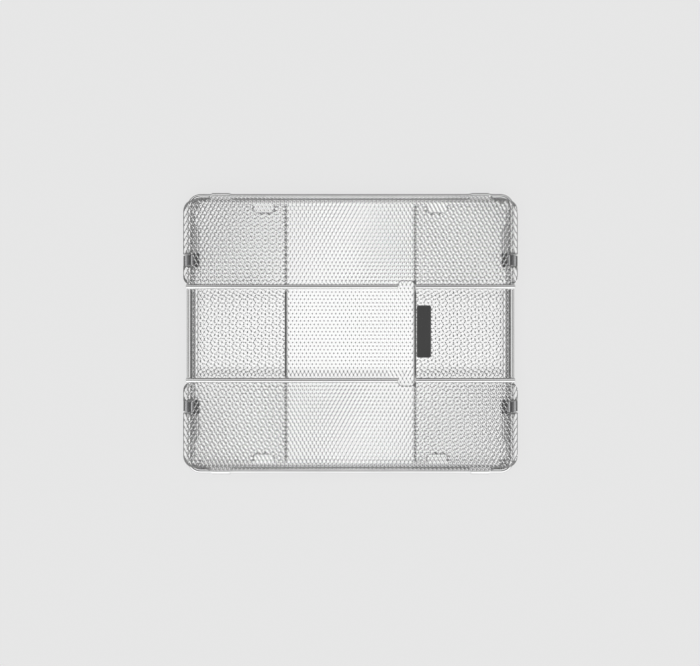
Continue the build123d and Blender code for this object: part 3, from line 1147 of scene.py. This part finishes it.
# ---------------------------------------------------------------- studio
@dataclass
class Graph:
    """Small helper over a node tree."""

    tree: bpy.types.NodeTree

    def ramp(
        self, source: bpy.types.NodeSocket, span: tuple[float, float], ends: tuple[float, float]
    ) -> bpy.types.NodeSocket:
        """Smooth step of a value.

        Args:
            source: Value.
            span: Values between which it steps.
            ends: Results before and after the step.

        Returns:
            The socket of the result.
        """
        step = self.tree.nodes.new("ShaderNodeMapRange")
        step.interpolation_type = "SMOOTHSTEP"
        for name, value in zip(("From Min", "From Max", "To Min", "To Max"), (*span, *ends)):
            step.inputs[name].default_value = value
        self.tree.links.new(source, step.inputs["Value"])
        return step.outputs["Result"]

    def math(
        self, operation: str, first: bpy.types.NodeSocket, second: bpy.types.NodeSocket | float = 0.0
    ) -> bpy.types.NodeSocket:
        """Result of a math node on a socket, and on a socket or number.

        Args:
            operation: The node's operation.
            first: First value.
            second: Second value.

        Returns:
            The socket of the result.
        """
        node = self.tree.nodes.new("ShaderNodeMath")
        node.operation = operation
        self.tree.links.new(first, node.inputs[0])
        if isinstance(second, (int, float)):
            node.inputs[1].default_value = second
        else:
            self.tree.links.new(second, node.inputs[1])
        return node.outputs[0]


@dataclass
class Studio:
    """Pale floor with a painted pool of light under the basket, a soft bright surround that is dark right
    overhead, and the camera straight above.

    Lengths are in metres. Each step of the surround lies between two values of the direction's
    part along Z or Y.
    """

    distance: float = 0.65
    view_width: float = 0.707
    sensor: float = 36.0
    aim: tuple[float, float] = (-0.0005, 0.0005)
    subject_height: float = 0.0125
    floor_half: float = 4.0
    floor_drop: float = 0.0002
    paleness: float = 0.815
    # painted light: the floor is paler under the basket, out to these half sizes with a soft edge, a painted
    # pool of light where the basket's shadow would fall
    painted_light_under_basket: float = 0.96
    painted_light_half: tuple[float, float] = (0.163, 0.139)
    painted_light_edge: float = 0.004
    kept_shadow: float = 0.12
    radiance: float = 1.5
    zenith: float = 0.12
    zenith_step: tuple[float, float] = (0.85, 0.96)
    low: float = 0.08
    low_step: tuple[float, float] = (0.48, 0.70)
    front: float = 0.85
    front_step: tuple[float, float] = (-0.75, -0.35)
    rear: float = 0.72
    rear_step: tuple[float, float] = (0.1, 0.45)

    def floor(self) -> None:
        """Pale floor that looks even to the camera and to the metal, except for a paler patch under the
        basket, a painted pool of light that keeps the openings white; it still takes a shadow.
        """
        size = self.floor_half
        mesh = bpy.data.meshes.new("studio_floor")
        corners = [(-size, -size, 0), (size, -size, 0), (size, size, 0), (-size, size, 0)]
        mesh.from_pydata([Vector(corner) for corner in corners], [], [(0, 1, 2, 3)])
        material = bpy.data.materials.new("pale_floor")
        material.use_nodes = True
        graph = Graph(material.node_tree)
        nodes, links = graph.tree.nodes, graph.tree.links
        nodes.clear()
        output = nodes.new("ShaderNodeOutputMaterial")
        matt = nodes.new("ShaderNodeBsdfDiffuse")
        even = nodes.new("ShaderNodeEmission")
        place = nodes.new("ShaderNodeTexCoord")
        parts = nodes.new("ShaderNodeSeparateXYZ")
        links.new(place.outputs["Object"], parts.inputs[0])
        # mask of the painted pool of light: the paler patch under the basket
        under = []
        for axis, half in zip("XY", self.painted_light_half):
            away = graph.math("ABSOLUTE", parts.outputs[axis])
            under.append(graph.ramp(away, (half - self.painted_light_edge, half), (1.0, 0.0)))
        # floor colour, raised to the painted pool of light under the basket
        pale = graph.ramp(graph.math("MULTIPLY", *under), (0.0, 1.0), (self.paleness, self.painted_light_under_basket))
        links.new(pale, matt.inputs["Color"])
        links.new(pale, even.inputs["Color"])
        light_path = nodes.new("ShaderNodeLightPath")
        seen = graph.math("MAXIMUM", light_path.outputs["Is Camera Ray"], light_path.outputs["Is Glossy Ray"])
        blend = nodes.new("ShaderNodeMixShader")
        links.new(graph.math("MULTIPLY", seen, 1.0 - self.kept_shadow), blend.inputs["Fac"])
        links.new(matt.outputs[0], blend.inputs[1])
        links.new(even.outputs[0], blend.inputs[2])
        links.new(blend.outputs[0], output.inputs["Surface"])
        mesh.materials.append(material)
        piece = bpy.data.objects.new("studio_floor", mesh)
        piece.location.z = -self.floor_drop
        bpy.context.scene.collection.objects.link(piece)

    def sky(self) -> None:
        """Surround: pale to the camera, and a bright tent to the metal.

        The tent is dark overhead, a little less bright to the rear, and dark low down except in
        front.
        """
        world = bpy.data.worlds.new("soft_surround")
        bpy.context.scene.world = world
        world.use_nodes = True
        graph = Graph(world.node_tree)
        nodes, links = graph.tree.nodes, graph.tree.links
        background = nodes["Background"]
        place = nodes.new("ShaderNodeTexCoord")
        parts = nodes.new("ShaderNodeSeparateXYZ")
        links.new(place.outputs["Generated"], parts.inputs[0])
        overhead = graph.ramp(parts.outputs["Z"], self.zenith_step, (self.radiance, self.zenith))
        low = graph.ramp(parts.outputs["Z"], self.low_step, (self.low, 1.0))
        front = graph.ramp(parts.outputs["Y"], self.front_step, (self.front, 0.0))
        rear = graph.ramp(parts.outputs["Y"], self.rear_step, (1.0, self.rear))
        above = graph.math("MULTIPLY", overhead, rear)
        tent = graph.math("MULTIPLY", above, graph.math("MAXIMUM", low, front))
        seen = nodes.new("ShaderNodeLightPath").outputs["Is Camera Ray"]
        unseen = graph.math("MULTIPLY", tent, graph.math("LESS_THAN", seen, 0.5))
        pale = graph.math("MULTIPLY", seen, self.paleness)
        links.new(graph.math("ADD", unseen, pale), background.inputs["Strength"])
        background.inputs["Color"].default_value = (1.0, 1.0, 1.0, 1.0)

    def camera(self) -> None:
        """Camera straight above, with the top of its picture towards the rear."""
        data = bpy.data.cameras.new("camera")
        data.sensor_width = self.sensor
        data.lens = self.sensor * self.distance / self.view_width
        piece = bpy.data.objects.new("camera", data)
        piece.location = (*self.aim, self.subject_height + self.distance)
        bpy.context.scene.collection.objects.link(piece)
        bpy.context.scene.camera = piece

    def build(self) -> None:
        """Makes the floor, the surround and the camera."""
        self.floor()
        self.sky()
        self.camera()
        bpy.context.scene.view_settings.view_transform = "Standard"


def main() -> None:
    """Builds every piece in order, and reports it."""
    logging.basicConfig(level=logging.INFO, format="%(name)s: %(message)s")
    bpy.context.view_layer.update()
    sheet, wire = SHEET_FINISH.material(), WIRE_FINISH.material()
    spring, plate = CLIP_FINISH.material(), LABEL_FINISH.material()
    pieces = [*Ring().build(wire), *Tray().build(sheet)]
    pieces += [*EndWall().build(sheet, wire), *LabelPlate().build(plate)]
    for side, body in (("rear", Body.REAR), ("front", Body.FRONT)):
        pieces += LongWall().build(side, body, sheet, wire, spring)
    for piece in pieces:
        logger.info("%s: %d faces", piece.name, len(piece.data.polygons))
    Studio().build()


if __name__ == "__main__":
    main()
